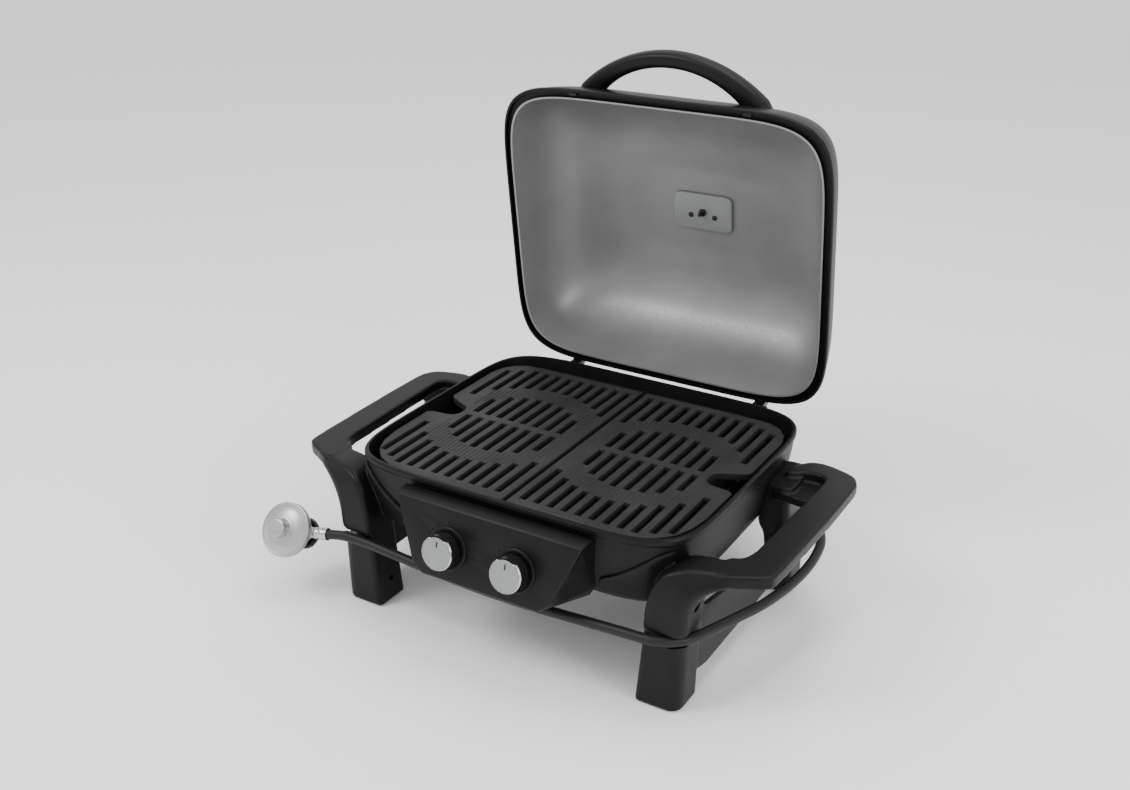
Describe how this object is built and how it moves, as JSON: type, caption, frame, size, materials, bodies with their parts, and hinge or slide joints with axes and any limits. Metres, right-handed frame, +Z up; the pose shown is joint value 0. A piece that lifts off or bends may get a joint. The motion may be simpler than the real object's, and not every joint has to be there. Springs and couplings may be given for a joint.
{
  "type": "portable gas grill",
  "caption": "Portable camp gas grill: hinged deep lid, moulded side frames with handles and legs, round control knobs, lift-out grates and griddle, hose and regulator.",
  "frame": {"origin": "on the floor under the middle of the grill's own box, measured without the hose and regulator", "axes": "+Y from the control panel to the lid's hinge, +X towards the right-hand frame seen from the front, +Z up"},
  "size_m": [0.7041, 0.6368, 0.686],
  "materials": {
    "black_steel": "black plated steel",
    "brass": "machined brass",
    "cast_aluminium_black": "satin black cast aluminium",
    "cast_iron": "dark enamelled cast iron",
    "cast_zinc": "bead-blasted light grey casting",
    "ceramic": "glazed cream ceramic",
    "dark_steel": "dark enamelled sheet steel",
    "gloss_plastic": "black",
    "moulded_plastic": "fine-grained matte black moulding",
    "rubber": "black rubber",
    "satin_chrome": "satin chrome",
    "stainless_steel": "brushed stainless steel"
  },
  "bodies": {
    "base": {"control_panel": "moulded_plastic", "coupling_nut": "gloss_plastic", "firebox": "cast_aluminium_black", "front_grate_rest": "dark_steel", "gas_feed_pipe": "black_steel", "gas_hose": "rubber", "gas_inlet_elbow": "brass", "gas_manifold": "black_steel", "hose_ferrule": "satin_chrome", "left_burner": "stainless_steel", "left_front_foot_pad": "rubber", "left_front_frame_screw": "black_steel", "left_front_post": "dark_steel", "left_gas_valve": "brass", "left_hinge_bracket": "black_steel", "left_hinge_pin": "black_steel", "left_igniter": "ceramic", "left_knob_bezel": "gloss_plastic", "left_rear_foot_pad": "rubber", "left_rear_frame_screw": "black_steel", "left_rear_post": "dark_steel", "left_side_frame": "moulded_plastic", "left_tray_rail": "dark_steel", "rear_grate_rest": "dark_steel", "regulator_base": "cast_zinc", "regulator_bracket": "moulded_plastic", "regulator_cover": "cast_zinc", "right_burner": "stainless_steel", "right_front_foot_pad": "rubber", "right_front_frame_screw": "black_steel", "right_front_post": "dark_steel", "right_gas_valve": "brass", "right_hinge_bracket": "black_steel", "right_hinge_pin": "black_steel", "right_igniter": "ceramic", "right_knob_bezel": "gloss_plastic", "right_rear_foot_pad": "rubber", "right_rear_frame_screw": "black_steel", "right_rear_post": "dark_steel", "right_side_frame": "moulded_plastic", "right_tray_rail": "dark_steel"},
    "lid": {"lid_shell": "cast_aluminium_black", "lid_handle": "moulded_plastic", "thermometer_dial": "stainless_steel", "thermometer_plate": "satin_chrome", "thermometer_nut": "black_steel", "left_lid_bumper": "rubber", "right_lid_bumper": "rubber", "left_lid_hinge_arm": "black_steel", "right_lid_hinge_arm": "black_steel"},
    "left_valve_body": {"left_valve_stem": "black_steel"},
    "left_knob_body": {"left_knob": "satin_chrome"},
    "right_valve_body": {"right_valve_stem": "black_steel"},
    "right_knob_body": {"right_knob": "satin_chrome"},
    "griddle": {"griddle_plate": "cast_iron"},
    "left_grate_body": {"left_grate": "cast_iron"},
    "right_grate_body": {"right_grate": "cast_iron"},
    "tray": {"drip_tray": "dark_steel"}
  },
  "joints": [
    {"name": "lid_hinge", "type": "hinge", "parent": "base", "child": "lid", "pos_m": [0, 0.1744, 0.2], "axis": [-1, 0, 0], "range_deg": [-82.4, 0]},
    {"name": "left_knob_push", "type": "slide", "parent": "base", "child": "left_valve_body", "axis": [0, 0.9728, -0.2317], "range_m": [0, 0.003], "stiffness_N_per_m": 400, "springref_m": -0.001},
    {"name": "left_knob_turn", "type": "hinge", "parent": "left_valve_body", "child": "left_knob_body", "pos_m": [-0.049, -0.29035, 0.15542], "axis": [0, -0.9728, 0.2317], "range_deg": [0, 180]},
    {"name": "right_knob_push", "type": "slide", "parent": "base", "child": "right_valve_body", "axis": [0, 0.9728, -0.2317], "range_m": [0, 0.003], "stiffness_N_per_m": 400, "springref_m": -0.001},
    {"name": "right_knob_turn", "type": "hinge", "parent": "right_valve_body", "child": "right_knob_body", "pos_m": [0.049, -0.29035, 0.15542], "axis": [0, -0.9728, 0.2317], "range_deg": [0, 180]},
    {"name": "griddle_lift", "type": "slide", "parent": "base", "child": "griddle", "axis": [0, 0, 1], "range_m": [0, 0.0626]},
    {"name": "left_grate_lift", "type": "slide", "parent": "griddle", "child": "left_grate_body", "axis": [0, 0, 1], "range_m": [0, 0.083]},
    {"name": "right_grate_lift", "type": "slide", "parent": "griddle", "child": "right_grate_body", "axis": [0, 0, 1], "range_m": [0, 0.052]},
    {"name": "tray_slide", "type": "slide", "parent": "base", "child": "tray", "axis": [0, 1, 0], "range_m": [0, 0.12]}
  ]
}
